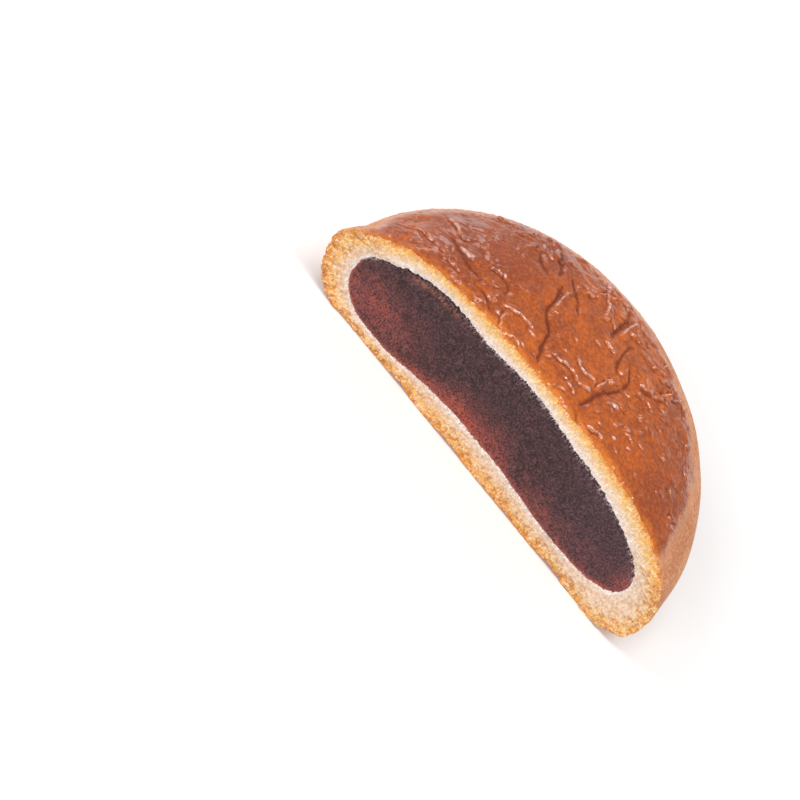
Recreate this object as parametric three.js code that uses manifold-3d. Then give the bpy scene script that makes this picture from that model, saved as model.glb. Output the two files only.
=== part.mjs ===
// Half of a round, flat-topped sweet bun with a thick layer of red bean paste inside. It is cut
// straight through the middle and lies on its flat baked base, with the cut face to the front.
//
// Lengths are in millimetres. X runs along the cut, the cut face looks along -Y and +Z is up.
// Shapes are worked out about the bun's own axis, which lies in the cut face. The exported group
// then moves that axis forward, so that the origin is under the middle of the footprint.

import * as THREE from "three";
import { mergeVertices } from "three/addons/utils/BufferGeometryUtils.js";
import Module from "manifold-3d";

const wasm = await Module();
wasm.setup();

// ---- the bun's outer form ----
const RADIUS = 48;
const HEIGHT = 33.4;
const BULGE_HEIGHT = 8.7; // of the widest line round the side, on average
const BULGE_TILT = 1.5; // the widest line is this much higher at the left end than in the middle
const BASE_INSET = 9.5; // the flat base ends this far inside the widest line
const SHOULDER_POWER = 2.74; // how far out the flat top reaches before it turns down
const CROWN_POWER = 2.46; // how squarely it turns down

// ---- the bean paste ----
const PASTE_HALF_WIDTH = 41;
const PASTE_CENTRE_X = -1.2;
const PASTE_TOP = 28.4;
const PASTE_TOP_SLOPE = -0.035; // the top sinks to the right
const PASTE_END_HEIGHT = 13.6; // of the rounded ends
const PASTE_FLOOR = 5.9; // thickness of bread under the paste, on average
const PASTE_FLOOR_SWELL = 1.6; // the floor is this much thicker in the middle
const PASTE_FLOOR_WAVE = 56; // length of that swell
const PASTE_FLOOR_SLOPE = 0.03; // the floor rises to the right
const PASTE_TOP_BOW = { shoulder: 2.6, crown: 2.1 };
const PASTE_FLOOR_BOW = { shoulder: 8, crown: 2.5 }; // nearly flat, with tight corners
const CLEARANCE = 0.3; // between the paste and the bread round it

// ---- how finely the surfaces are divided ----
const TOP_STEP = 1.25;
const SIDE_STEP = 2.2;
const PASTE_STEP = 2.8;
const PROFILE_SAMPLES = 401; // for measuring along a profile
const KNIFE_SIZE = 3 * RADIUS;

// ---- relief of the shrunken, wrinkled top ----
const CREASE_WIDTH = 1.6; // from the bottom of a crease to where it is mostly gone
const LIP_OFFSET = 2.9; // from the bottom of a crease to the ridges beside it
const LIP_SHARE = 0.35; // height of those ridges, as a share of the crease's depth
const CREASE_END = 0.12; // share of its length over which a crease fades at each end
const SWELL_DEPTH = 0.35;
const SWELL_LENGTHS = [11.5, 15]; // of the soft swells along X and Y
const SWELL_PHASES = [0.8, -0.4];
const RELIEF_FADE = [0.73, 0.93]; // shares of the radius between which all the relief fades out

// Each crease runs through a few points on the top, seen from above: along the cut, then back
// from the cut face. The first ones are the deepest.
const CREASES = [
  { depth: 1, route: [[-22, 34], [-15.6, 24.6], [-12.4, 16.8], [-11, 10.8], [-8, 6], [-5.6, 1.4]] },
  { depth: 0.96, route: [[7, 22.5], [9.8, 17.2], [8, 12.3], [6.1, 6.5], [5.6, 2.5]] },
  { depth: 0.88, route: [[-1, 38], [-0.2, 30], [0.4, 21]] },
  { depth: 0.72, route: [[4.6, 28], [4.4, 22], [6.8, 16.5]] },
  { depth: 0.72, route: [[-15, 28], [-9.5, 21.5], [-5, 16.5]] },
  { depth: 0.64, route: [[-30, 14.5], [-26, 8.9], [-22.5, 9.9], [-18.4, 6]] },
  { depth: 0.64, route: [[-38, 11.5], [-31, 8], [-25, 5.6], [-24, 3]] },
  { depth: 0.56, route: [[-27, 3], [-22, 3.4], [-18, 1.6], [-14, 2.2]] },
  { depth: 0.56, route: [[-22, 26.5], [-19, 22.6], [-14.5, 19.8]] },
  { depth: 0.48, route: [[-18.5, 4.6], [-14.3, 6.8], [-9, 5.8]] },
  { depth: 0.48, route: [[-6, 4.8], [-2.6, 7.3], [2, 7.2], [5.6, 8.8]] },
  { depth: 0.48, route: [[-2, 12.2], [0, 10.4], [5, 10.2]] },
  { depth: 0.48, route: [[9.8, 17.2], [13, 19.4], [16, 24.5], [19, 30]] },
  { depth: 0.4, route: [[12.2, 15], [13, 13], [12.2, 9.5]] },
  { depth: 0.4, route: [[8.5, 1], [11, 2.2], [14, 2]] },
  { depth: 0.4, route: [[-39, 17.5], [-35, 13.8], [-31.5, 14.5]] },
];

/** Smooth step from 0 at `from` to 1 at `to`. */
function fade(value, from, to) {
  return THREE.MathUtils.smoothstep((value - from) / (to - from), 0, 1);
}

/** Height of the widest line of the side in the direction `angle` from the bun's axis. */
function bulgeHeight(angle) {
  return BULGE_HEIGHT - BULGE_TILT * Math.cos(angle);
}

/** Distance from a point on the top to a crease, and how far along the crease that is. */
function nearCrease(x, y, route) {
  let nearest = { distance: Infinity, along: 0 };
  for (let i = 0; i + 1 < route.length; i++) {
    const [ax, ay] = route[i];
    const [dx, dy] = [route[i + 1][0] - ax, route[i + 1][1] - ay];
    const share = ((x - ax) * dx + (y - ay) * dy) / (dx * dx + dy * dy);
    const t = THREE.MathUtils.clamp(share, 0, 1);
    const distance = Math.hypot(x - ax - t * dx, y - ay - t * dy);
    if (distance < nearest.distance) {
      nearest = { distance, along: (i + t) / (route.length - 1) };
    }
  }
  return nearest;
}

/** How far the wrinkled top stands above its smooth form at a point seen from above. */
function topRelief(x, y) {
  const swellX = Math.sin(x / SWELL_LENGTHS[0] + SWELL_PHASES[0]);
  const swellY = Math.cos(y / SWELL_LENGTHS[1] + SWELL_PHASES[1]);
  let height = SWELL_DEPTH * swellX * swellY;
  for (const { depth, route } of CREASES) {
    const { distance, along } = nearCrease(x, y, route);
    const strength = depth * fade(Math.min(along, 1 - along), -CREASE_END, CREASE_END);
    const valley = Math.exp(-((distance / CREASE_WIDTH) ** 2));
    const lip = Math.exp(-(((distance - LIP_OFFSET) / CREASE_WIDTH) ** 2));
    height += strength * (LIP_SHARE * lip - valley);
  }
  return height * (1 - fade(Math.hypot(x, y) / RADIUS, ...RELIEF_FADE));
}

/** A point of the bun's skin above the widest line. `turn` goes from 0 at the top to PI / 2. */
function crownPoint(turn, angle) {
  const radius = RADIUS * Math.sin(turn) ** (2 / SHOULDER_POWER);
  const [x, y] = [radius * Math.cos(angle), radius * Math.sin(angle)];
  const bulge = bulgeHeight(angle);
  const smooth = bulge + (HEIGHT - bulge) * Math.cos(turn) ** (2 / CROWN_POWER);
  return new THREE.Vector3(x, y, smooth + topRelief(x, y));
}

/** A point of the rounded lower edge. `turn` goes from 0 at the widest line to PI / 2 at the base. */
function footPoint(turn, angle) {
  const radius = RADIUS - BASE_INSET * (1 - Math.cos(turn));
  const height = bulgeHeight(angle) * (1 - Math.sin(turn));
  return new THREE.Vector3(radius * Math.cos(angle), radius * Math.sin(angle), height);
}

/** Height of the paste's underside: the bread below it swells in the middle and to the right. */
function pasteFloor(x) {
  const swell = PASTE_FLOOR_SWELL * Math.cos((2 * Math.PI * x) / PASTE_FLOOR_WAVE);
  return PASTE_FLOOR + swell + PASTE_FLOOR_SLOPE * x;
}

/** A point of the paste's skin, grown by `grow`. `share` is 0 on its axis and 1 at its edge. */
function pastePoint(share, angle, isTop, grow) {
  const halfWidth = PASTE_HALF_WIDTH + grow;
  const x = PASTE_CENTRE_X + halfWidth * share * Math.cos(angle);
  const y = halfWidth * share * Math.sin(angle);
  const level = isTop ? PASTE_TOP + PASTE_TOP_SLOPE * x + grow : pasteFloor(x) - grow;
  const { shoulder, crown } = isTop ? PASTE_TOP_BOW : PASTE_FLOOR_BOW;
  const bow = (1 - share ** shoulder) ** (1 / crown);
  return new THREE.Vector3(x, y, PASTE_END_HEIGHT + (level - PASTE_END_HEIGHT) * bow);
}

/** Values of `turn` from 0 to PI / 2 that divide a profile into steps of about `step` mm. */
function evenTurns(pointAt, step) {
  const fine = Array.from({ length: PROFILE_SAMPLES }, (_, i) => {
    return (i / (PROFILE_SAMPLES - 1)) * (Math.PI / 2);
  });
  const lengths = [0];
  for (let i = 1; i < fine.length; i++) {
    lengths.push(lengths[i - 1] + pointAt(fine[i]).distanceTo(pointAt(fine[i - 1])));
  }
  const total = lengths.at(-1);
  const count = Math.round(total / step);
  const turns = [];
  for (let k = 0; k <= count; k++) {
    turns.push(fine[lengths.findIndex((l) => l >= (total * k) / count - 1e-9)]);
  }
  return turns;
}

/** A closed ring of points about the axis, with a point about every `step` mm. */
function ring(pointAt, radius, step) {
  const count = 2 * Math.max(4, Math.round((Math.PI * radius) / step));
  return Array.from({ length: count }, (_, i) => pointAt((2 * Math.PI * i) / count));
}

/** Joins rings, which may have different numbers of points, and two end points into one shell. */
function shell(firstPoint, rings, lastPoint) {
  const positions = [];
  const add = (...points) => points.forEach((p) => positions.push(p.x, p.y, p.z));
  const fan = (tip, loop, isFirst) => {
    loop.forEach((point, i) => {
      const next = loop[(i + 1) % loop.length];
      isFirst ? add(tip, point, next) : add(tip, next, point);
    });
  };
  fan(firstPoint, rings[0], true);
  for (let k = 0; k + 1 < rings.length; k++) {
    const [upper, lower] = [rings[k], rings[k + 1]];
    for (let i = 0, j = 0; i < upper.length || j < lower.length; ) {
      const [a, b] = [upper[i % upper.length], lower[j % lower.length]];
      if ((i + 1) / upper.length <= (j + 1) / lower.length) {
        add(a, b, upper[++i % upper.length]);
      } else {
        add(a, b, lower[++j % lower.length]);
      }
    }
  }
  fan(lastPoint, rings.at(-1), false);
  const geometry = new THREE.BufferGeometry();
  geometry.setAttribute("position", new THREE.Float32BufferAttribute(positions, 3));
  return toSolid(geometry);
}

/** A closed geometry as a manifold-3d solid. */
function toSolid(geometry) {
  geometry.deleteAttribute("normal");
  geometry.deleteAttribute("uv");
  const merged = mergeVertices(geometry, 1e-4);
  const vertProperties = merged.attributes.position.array;
  const triVerts = new Uint32Array(merged.index.array);
  return new wasm.Manifold(new wasm.Mesh({ numProp: 3, vertProperties, triVerts }));
}

/** A manifold-3d solid as a named mesh. */
function toMesh(solid, name, material) {
  const { vertProperties, triVerts } = solid.getMesh();
  const geometry = new THREE.BufferGeometry();
  geometry.setAttribute("position", new THREE.BufferAttribute(vertProperties, 3));
  geometry.setIndex(new THREE.BufferAttribute(triVerts, 1));
  geometry.computeVertexNormals();
  const mesh = new THREE.Mesh(geometry, material);
  mesh.name = name;
  return mesh;
}

/** The whole bun before it is filled and cut. */
function wholeBun() {
  const crownTurns = evenTurns((turn) => crownPoint(turn, Math.PI), TOP_STEP).slice(1);
  const footTurns = evenTurns((turn) => footPoint(turn, Math.PI), SIDE_STEP).slice(1);
  const rings = [
    ...crownTurns.map((turn) => {
      const radius = RADIUS * Math.sin(turn) ** (2 / SHOULDER_POWER);
      return ring((angle) => crownPoint(turn, angle), radius, TOP_STEP);
    }),
    ...footTurns.map((turn) => ring((angle) => footPoint(turn, angle), RADIUS, SIDE_STEP)),
  ];
  return shell(crownPoint(0, 0), rings, new THREE.Vector3(0, 0, 0));
}

/** The whole lens of paste, grown by `grow` on every side. */
function wholePaste(grow) {
  const rings = [];
  const count = Math.round(PASTE_HALF_WIDTH / PASTE_STEP);
  const addRing = (share, isTop) => {
    const pointAt = (angle) => pastePoint(share, angle, isTop, grow);
    rings.push(ring(pointAt, share * PASTE_HALF_WIDTH, PASTE_STEP));
  };
  // Equal steps of the sine crowd the rings towards the edge, where the paste turns fastest.
  const shares = Array.from({ length: count }, (_, i) => Math.sin((((i + 1) / count) * Math.PI) / 2));
  shares.forEach((share) => addRing(share, true));
  shares.slice(0, -1).reverse().forEach((share) => addRing(share, false));
  return shell(pastePoint(0, 0, true, grow), rings, pastePoint(0, 0, false, grow));
}

/** The half space in front of the cut. */
function knife() {
  const box = new THREE.BoxGeometry(KNIFE_SIZE, KNIFE_SIZE, KNIFE_SIZE);
  box.translate(0, -KNIFE_SIZE / 2, 0);
  return toSolid(box);
}

const crustMaterial = new THREE.MeshStandardMaterial({ color: 0xb0652f, roughness: 0.45, metalness: 0 });
const pasteMaterial = new THREE.MeshStandardMaterial({ color: 0x3a2224, roughness: 0.7, metalness: 0 });

const front = knife();
const bread = wholeBun().subtract(wholePaste(CLEARANCE)).subtract(front);
const paste = wholePaste(0).subtract(front);

const halfBun = new THREE.Group();
halfBun.add(toMesh(bread, "bread", crustMaterial));
halfBun.add(toMesh(paste, "bean_paste", pasteMaterial));
halfBun.position.y = -RADIUS / 2;

export default halfBun;
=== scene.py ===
"""Looks of half a round sweet bun with red bean paste, cut face to the front.

Shapes are in millimetres about the bun's own axis, which lies in the cut face: X runs along the
cut, +Y goes into the bun and Z is up from its base. `to_frame` gives the frame's metres.
"""

import itertools
import math

import bpy
import numpy as np
from mathutils import Matrix, Vector


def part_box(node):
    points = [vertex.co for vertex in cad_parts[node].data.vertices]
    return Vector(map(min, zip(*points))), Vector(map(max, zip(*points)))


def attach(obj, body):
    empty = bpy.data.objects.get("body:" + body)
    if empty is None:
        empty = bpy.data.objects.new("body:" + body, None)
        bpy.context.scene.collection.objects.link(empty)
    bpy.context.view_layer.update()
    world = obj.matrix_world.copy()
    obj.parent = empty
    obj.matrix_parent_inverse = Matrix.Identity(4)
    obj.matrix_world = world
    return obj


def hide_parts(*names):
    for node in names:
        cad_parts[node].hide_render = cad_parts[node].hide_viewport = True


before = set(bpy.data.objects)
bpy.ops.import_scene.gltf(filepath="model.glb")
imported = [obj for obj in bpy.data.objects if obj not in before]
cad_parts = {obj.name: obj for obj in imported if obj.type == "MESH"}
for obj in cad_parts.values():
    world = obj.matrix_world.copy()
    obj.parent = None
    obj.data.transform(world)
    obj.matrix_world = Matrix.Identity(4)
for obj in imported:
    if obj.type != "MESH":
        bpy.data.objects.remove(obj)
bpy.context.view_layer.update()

# ---------- driving dimensions, in mm

MM = 0.001
BREAD_LOW, BREAD_HIGH = (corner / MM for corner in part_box("bread"))
AXIS_Y = BREAD_LOW.y
RADIUS = (BREAD_HIGH.x - BREAD_LOW.x) / 2

# The bun's form, as in the frame.
HEIGHT = 33.4
BULGE_HEIGHT = 8.7
BULGE_TILT = 1.5
BASE_INSET = 9.5
SHOULDER_POWER = 2.74
CROWN_POWER = 2.46

# The paste's form, as in the frame.
PASTE_HALF_WIDTH = 41
PASTE_CENTRE_X = -1.2
PASTE_TOP = 28.4
PASTE_TOP_SLOPE = -0.035
PASTE_END_HEIGHT = 13.6
PASTE_FLOOR = 5.9
PASTE_FLOOR_SWELL = 1.6
PASTE_FLOOR_WAVE = 56
PASTE_FLOOR_SLOPE = 0.03
PASTE_TOP_BOW = (2.6, 2.1)
PASTE_FLOOR_BOW = (8, 2.5)

# Uneven spots of the paste's top and floor: rise, place along the cut and width.
PASTE_TOP_SPOTS = ((0.5, -1, 6), (-1.3, -15, 5), (-2.2, -38, 4.5))
PASTE_FLOOR_SPOTS = ((1.1, -15, 8), (-0.9, -36, 6), (0.8, 28, 9))

# The egg-washed cap: an oval patch of the top, a little off the axis.
GLAZE_CENTRE = np.array([-4.0, 0.0])
GLAZE_RADII = np.array([42.5, 39.5])

# The left end of the cut bulges out, where its crust was torn.
END_LIP = 1.5
END_LIP_HEIGHT = 15

# At the cut the crust is smooth above the first height and grainy below the second.
GRAINY_CRUST = (26, 17)

# How far the skin hangs over the cut and how deeply the base is chipped there, at most.
SKIN_OVERHANG = 0.5
BASE_CHIPS = 1.2

# How far the paste reaches under the crumb's edge, and stops short of the hollow's back.
PASTE_UNDER_CRUMB = 0.12
PASTE_BACK_GAP = 0.3

# Where the paste's top has torn from the crumb: from not at all to fully, at its left and right.
TORN_LEFT = (-39, -35)
TORN_RIGHT = (-17, -25)

# How finely the surfaces are divided.
TOP_STEP = 0.24
SIDE_STEP = 0.36
SIDE_SEGMENT = 0.55
BASE_SEGMENT = 1.5
FACE_ROWS = 38
PASTE_COLUMNS = 400
PASTE_ROWS = 116
HOLLOW_LOOPS = 8

# The map for baking: its width in mm of each cut, its margin, and its strip for hidden backs.
CRUMB_MAP_WIDTH = 106
PASTE_MAP_WIDTH = 87
MAP_MARGIN = 0.02
STRIP_CORNER = np.array([0.01, 0.55])
STRIP_SIZE = np.array([0.98, 0.4])

# Lengths in mm that count as nothing and as out of reach.
TINY = 1e-6
FAR = 1e9

# ---------- random fields

# The last number of each call is the field's own seed.

# Stretches a smooth field to its full range.
NOISE_GAIN = 1.7


def lattice_random(lattice, seed):
    """A fixed random number from 0 to 1 for each whole-numbered point."""
    primes = (374761393, 668265263, 2246822519)
    mixed = np.full(lattice.shape[:-1], (seed * 3266489917 + 97) % 2**32, np.uint32)
    for axis in range(lattice.shape[-1]):
        mixed = mixed + lattice[..., axis].astype(np.uint32) * np.uint32(primes[axis])
    mixed = (mixed ^ (mixed >> np.uint32(13))) * np.uint32(1274126177)
    mixed = (mixed ^ (mixed >> np.uint32(15))) * np.uint32(2654435761)
    return (mixed ^ (mixed >> np.uint32(16))) / 2.0**32


def noise(points, size, seed):
    """A smooth random field from about -1 to 1, with lumps about `size` mm across."""
    base = np.floor(points / size).astype(np.int64)
    local = points / size - base
    eased = local**3 * (local * (6 * local - 15) + 10)
    dims = points.shape[1]
    total = np.zeros(len(points))
    for corner in itertools.product((0, 1), repeat=dims):
        slopes = [2 * lattice_random(base + corner, dims * seed + k) - 1 for k in range(dims)]
        weight = np.prod(np.where(corner, eased, 1 - eased), axis=1)
        total += weight * np.einsum("ij,ji->i", local - corner, np.array(slopes))
    return NOISE_GAIN * total


def wander(points, size, seed):
    return np.stack([noise(points, size, seed), noise(points, size, seed + 1)], axis=1)


def cells(points, size, seed):
    """Distances in mm to the nearest and second nearest of scattered centres `size` mm apart."""
    base = np.floor(points / size).astype(np.int64)
    dims = points.shape[1]
    nearest = np.full(len(points), FAR)
    second = np.full(len(points), FAR)
    for step in itertools.product((-1, 0, 1), repeat=dims):
        cell = base + step
        jitter = np.stack([lattice_random(cell, dims * seed + k) for k in range(dims)], axis=1)
        distance = np.linalg.norm((cell + jitter) * size - points, axis=1)
        second = np.minimum(second, np.maximum(nearest, distance))
        nearest = np.minimum(nearest, distance)
    return nearest, second


def fade(values, start, end):
    """Smooth step from 0 at `start` to 1 at `end`."""
    t = np.clip((values - start) / (end - start), 0, 1)
    return t * t * (3 - 2 * t)


def bump(distance, width):
    """A smooth rise to 1 where `distance` is 0, nearly gone at twice the width."""
    return np.exp(-((distance / width) ** 2))


def domes(points, size, seed):
    """Round-topped grains about `size` mm across, from 0 between them to 1 at their tops."""
    nearest, _ = cells(points, size, seed)
    return np.sqrt(np.clip(1 - (nearest / (0.75 * size)) ** 2, 0, 1))


def travelled(points):
    """Distance along a row of points, from its first."""
    steps = np.linalg.norm(np.diff(points, axis=0), axis=1)
    return np.concatenate([[0], np.cumsum(steps)])


# ---------- form of the bun


def evenly(radius, height, step):
    """Indices, not whole, that divide a profile into steps of one length."""
    length = travelled(np.stack([radius, height], axis=1))
    count = round(length[-1] / step)
    return np.interp(np.linspace(0, length[-1], count + 1), length, np.arange(len(length)))


def profile():
    """Rings of the skin from its top to the middle of its base: each one's radius, its height as
    a share of the bun's above the bulge and of the bulge's, and its segments' length. Also the
    widest ring's number."""
    turn = np.linspace(0, math.pi / 2, 4001)
    index = np.arange(len(turn))
    crown_radius = RADIUS * np.sin(turn) ** (2 / SHOULDER_POWER)
    crown_share = np.cos(turn) ** (2 / CROWN_POWER)
    crown_height = BULGE_HEIGHT + (HEIGHT - BULGE_HEIGHT) * crown_share
    foot_radius = RADIUS - BASE_INSET * (1 - np.cos(turn))
    foot_share = 1 - np.sin(turn)

    rings = []
    for i in evenly(crown_radius, crown_height, TOP_STEP):
        radius = np.interp(i, index, crown_radius)
        segment = TOP_STEP + (SIDE_SEGMENT - TOP_STEP) * fade(radius, 0.9 * RADIUS, RADIUS)
        rings.append((radius, np.interp(i, index, crown_share), 1, segment))
    widest = len(rings) - 1
    for i in evenly(foot_radius, BULGE_HEIGHT * foot_share, SIDE_STEP)[1:]:
        share = np.interp(i, index, foot_share)
        rings.append((np.interp(i, index, foot_radius), 0, share, SIDE_SEGMENT))
    base_radius = RADIUS - BASE_INSET
    for radius in np.linspace(base_radius, 0, round(base_radius / SIDE_STEP) + 1)[1:]:
        rings.append((radius, 0, 0, BASE_SEGMENT))
    return rings, widest


def paste_level(x, top, grow=0.0):
    """Height of the paste's upper or lower surface in the cut face."""
    share = np.clip(np.abs(x - PASTE_CENTRE_X) / (PASTE_HALF_WIDTH + grow), 0, 1)
    if top:
        level = PASTE_TOP + PASTE_TOP_SLOPE * x + grow
        shoulder, crown = PASTE_TOP_BOW
        spots = PASTE_TOP_SPOTS
    else:
        swell = PASTE_FLOOR_SWELL * np.cos(2 * math.pi * x / PASTE_FLOOR_WAVE)
        level = PASTE_FLOOR + swell + PASTE_FLOOR_SLOPE * x - grow
        shoulder, crown = PASTE_FLOOR_BOW
        spots = PASTE_FLOOR_SPOTS
    uneven = sum(rise * bump(x - place, width) for rise, place, width in spots)
    bow = (1 - share**shoulder) ** (1 / crown)
    return PASTE_END_HEIGHT + (level + uneven - PASTE_END_HEIGHT) * bow


def paste_outline(turn, grow=0.0):
    """Points (x, z) of the paste's smooth outline in the cut face. `turn` runs anticlockwise
    from the right end, so it is negative along the floor."""
    x = PASTE_CENTRE_X + (PASTE_HALF_WIDTH + grow) * np.cos(turn)
    top = np.sin(turn) >= 0
    z = np.where(top, paste_level(x, True, grow), paste_level(x, False, grow))
    return np.stack([x, z], axis=1)


# Tears along the paste's outline: their size and depth, from coarse to fine.
TEARS = ((5.0, 0.3), (1.7, 0.28), (0.75, 0.24), (0.4, 0.16))


def paste_edge(turn, grow=0.0):
    """The outline as torn crumb leaves it: rough along the top, nearly smooth along the floor."""
    outline = paste_outline(turn, grow)
    roughness = 0.2 + 0.8 * fade(np.sin(turn), -0.1, 0.4)
    edge = outline.copy()
    for seed, (size, depth) in enumerate(TEARS, 3):
        edge[:, 1] += depth * roughness * noise(outline, size, seed)
        edge[:, 0] += 0.6 * depth * roughness * noise(outline, size, seed + 20)
    return edge


def outline_turns(count):
    """Turns that divide the paste's top into `count` equal steps from the right end, and the
    same for its floor."""
    dense = np.linspace(0, math.pi, 4001)
    both = []
    for side in (1, -1):
        length = travelled(paste_outline(side * dense))
        both.append(side * np.interp(np.linspace(0, length[-1], count + 1), length, dense))
    return both


# ---------- relief of the skin

# Creases: depth, width, and a few points seen from above, along the cut and back from it.
CREASES = [
    (0.3, 0.7, [(-20, 34), (-18.1, 29.7), (-16.4, 26.1), (-14.9, 22.4)]),
    (0.43, 0.45, [
        (-13.8, 23), (-12.6, 18.6), (-11.4, 12.2), (-8.4, 9.4), (-7.7, 6.2), (-5.3, 0.4),
    ]),
    (0.33, 0.5, [(-14.4, 27.4), (-12.2, 24.7), (-9.9, 22.6), (-8, 19.9), (-6.7, 18)]),
    (0.29, 0.5, [(-21.6, 26), (-20.2, 23.2), (-17.9, 21.7), (-15.9, 20.4)]),
    (0.26, 0.45, [(-29.4, 13.4), (-27.9, 11.3), (-26.2, 9.3)]),
    (0.29, 0.45, [(-25.5, 8.7), (-24, 10), (-21.4, 10.1), (-19.6, 8.9), (-19.1, 6.7), (-18.1, 6)]),
    (0.33, 0.45, [(-36.1, 10.6), (-31, 8), (-27.8, 6.3), (-24.5, 5.4), (-25.1, 3.4)]),
    (0.26, 0.45, [(-25.6, 3), (-22.2, 3.3), (-20.6, 2.8), (-19, 1.6), (-16.8, 1.9)]),
    (0.33, 1.2, [(-36.2, 20.2), (-34.2, 18)]),
    (0.4, 0.5, [(-0.9, 36), (0, 31), (0, 26.2), (0, 23.2), (0.5, 21.2)]),
    (0.33, 0.5, [(4.8, 28.5), (4.2, 24), (4.6, 20.5), (5.2, 17.8), (6.6, 15.6)]),
    (0.29, 0.45, [(8.7, 16.6), (9.9, 17.2), (11.6, 18.1)]),
    (0.4, 0.45, [(6.3, 22.3), (9.2, 17.3), (8.2, 12.6), (6.9, 9.4), (6.2, 5.9), (5.4, 1.6)]),
    (0.2, 0.4, [(12.8, 14.2), (12.3, 11.1), (12, 9.2)]),
    (0.23, 0.4, [(3.9, 1.9), (5.8, 1), (7.4, 0.3), (10.2, -0.2)]),
]

# Thin raised folds, which catch the light: height, width and points.
FOLDS = [
    (0.4, 0.42, [(-11.5, 22), (-11.7, 18.6), (-11, 13.8)]),
    (0.2, 0.36, [(-21.5, 32.2), (-20.4, 31), (-17.6, 28.3)]),
    (0.25, 0.36, [(-25, 30.6), (-21.6, 27.8), (-19.4, 26.2), (-18.1, 26.9)]),
    (0.35, 0.63, [(-25.5, 9.7), (-24, 11), (-21.4, 11.3)]),
    (0.35, 0.63, [(-32.4, 9.3), (-29.5, 8.8), (-27.2, 8.3)]),
    (0.35, 0.36, [(-16, 4.3), (-16, 1.8), (-14.9, 0.1)]),
    (0.35, 0.36, [(-18.3, 4.8), (-16.2, 5.9), (-14, 6.5), (-10.1, 6.3)]),
    (0.3, 0.36, [(-14.3, 0.7), (-11.7, 1.2), (-9.1, 1)]),
    (0.35, 0.45, [(-38, 15.7), (-35.6, 14.5), (-32.9, 11.9), (-31.5, 13.2)]),
    (0.3, 0.45, [(-42.6, 6.2), (-39.3, 6.9), (-36.2, 6.1), (-32.2, 4.8)]),
    (0.3, 0.45, [(-32, 3.5), (-28.9, 3.4), (-26.4, 3.1)]),
    (0.3, 0.42, [(-28.9, 0.8), (-25.7, 1.2)]),
    (0.35, 0.45, [(-9.9, 25.7), (-8.2, 27.8), (-6.8, 31), (-6, 33.9)]),
    (0.3, 0.45, [(-7.8, 38), (-6.2, 33.5), (-4.5, 29.4), (-3.6, 25.9)]),
    (0.3, 0.45, [(-5.1, 31.3), (-3.3, 35.6), (-1.2, 36.8)]),
    (0.35, 0.45, [(2, 34), (1.4, 29.1), (1.2, 26)]),
    (0.3, 0.42, [(0.9, 28.6), (3.4, 29.5), (4.2, 31.5)]),
    (0.35, 0.42, [(8.1, 16.4), (6, 13.3), (5.7, 10.2), (6.3, 9.1)]),
    (0.3, 0.36, [(11.2, 13.6), (12.8, 14.6)]),
    (0.4, 0.45, [(10.3, 20.4), (12.7, 21.3), (14.8, 22.8), (16.8, 27), (18.8, 29.7)]),
    (0.3, 0.36, [(10.8, 18.2), (13.5, 18.8)]),
    (0.3, 0.36, [(14.6, 14.1), (17.3, 15.3)]),
    (0.35, 0.42, [(8.4, 8.7), (9.5, 10.2), (11.4, 10.3)]),
    (0.25, 0.36, [(14.4, 8.1), (16.9, 8.6), (18.4, 7.2)]),
    (0.3, 0.36, [(13.7, 5.1), (15.7, 5)]),
    (0.35, 0.36, [(9, 1.4), (11, 2.1), (12.9, 2.5), (13.5, 1.9)]),
    (0.4, 0.36, [(-5.6, 5.7), (-3.3, 6.8), (-0.4, 7.3), (2.5, 6.8), (5.4, 8.1)]),
    (0.35, 0.42, [(-1.7, 11.5), (1, 9.9), (3.6, 10.5), (4.7, 9.7)]),
    (0.3, 0.36, [(-4.9, 9.2), (-2.9, 9.6)]),
    (0.3, 0.36, [(-2, 18.2), (0.6, 18.4)]),
    (0.3, 0.36, [(-0.7, 20.3), (3.3, 20.4)]),
    (0.3, 0.36, [(1.7, 25.7), (2.9, 26)]),
    (0.3, 0.42, [(13.1, 27.8), (16, 29.8), (18.8, 29.7), (21.5, 29)]),
    (0.15, 0.36, [
        (22.2, 25.5), (24.6, 25.6), (26, 22.8), (27.6, 20.8), (29.9, 18.9), (32.4, 13.1),
    ]),
    (0.3, 0.36, [(22.8, 13), (25.2, 13.7)]),
    (0.12, 0.31, [(22.1, 3.6), (25.5, 4.7), (28, 7.1), (30.5, 8.7)]),
    (0.3, 0.31, [(-14, 11.5), (-12.8, 11.9)]),
    (0.3, 0.31, [(-7.4, 10.3), (-6.2, 10.9)]),
    (0.25, 0.31, [(-5.6, 14), (-3.3, 13.5)]),
]

SCATTERED_FOLDS = 230


def scattered_folds():
    """Short folds strewn over the cap, with few at its middle left and the cut's right end."""
    rng = np.random.default_rng(5)
    folds = []
    while len(folds) < SCATTERED_FOLDS:
        middle = rng.uniform((-40, 1.5), (36, 38))
        heading = rng.normal(0.15, 0.6)
        length = rng.uniform(1.2, 4)
        lift, width = rng.uniform((0.13, 0.28), (0.28, 0.4))
        sag = rng.uniform(-0.2, 0.2) * length
        x, y = middle
        wanted = 0.05 + 0.95 * fade(x, 0, 12) * fade(y, 1, 8) + 0.6 * fade(y, 20, 30)
        wanted += 0.6 * fade(y, 10, 4) * fade(x, 16, 10)
        outside = np.linalg.norm((middle - GLAZE_CENTRE) / GLAZE_RADII) > 0.95
        if outside or rng.random() > wanted:
            continue
        along = np.array([math.cos(heading), math.sin(heading)])
        across = np.array([-along[1], along[0]])
        ends = middle - along * length / 2, middle + along * length / 2
        folds.append((lift, width, [ends[0], middle + across * sag, ends[1]]))
    return folds


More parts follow.
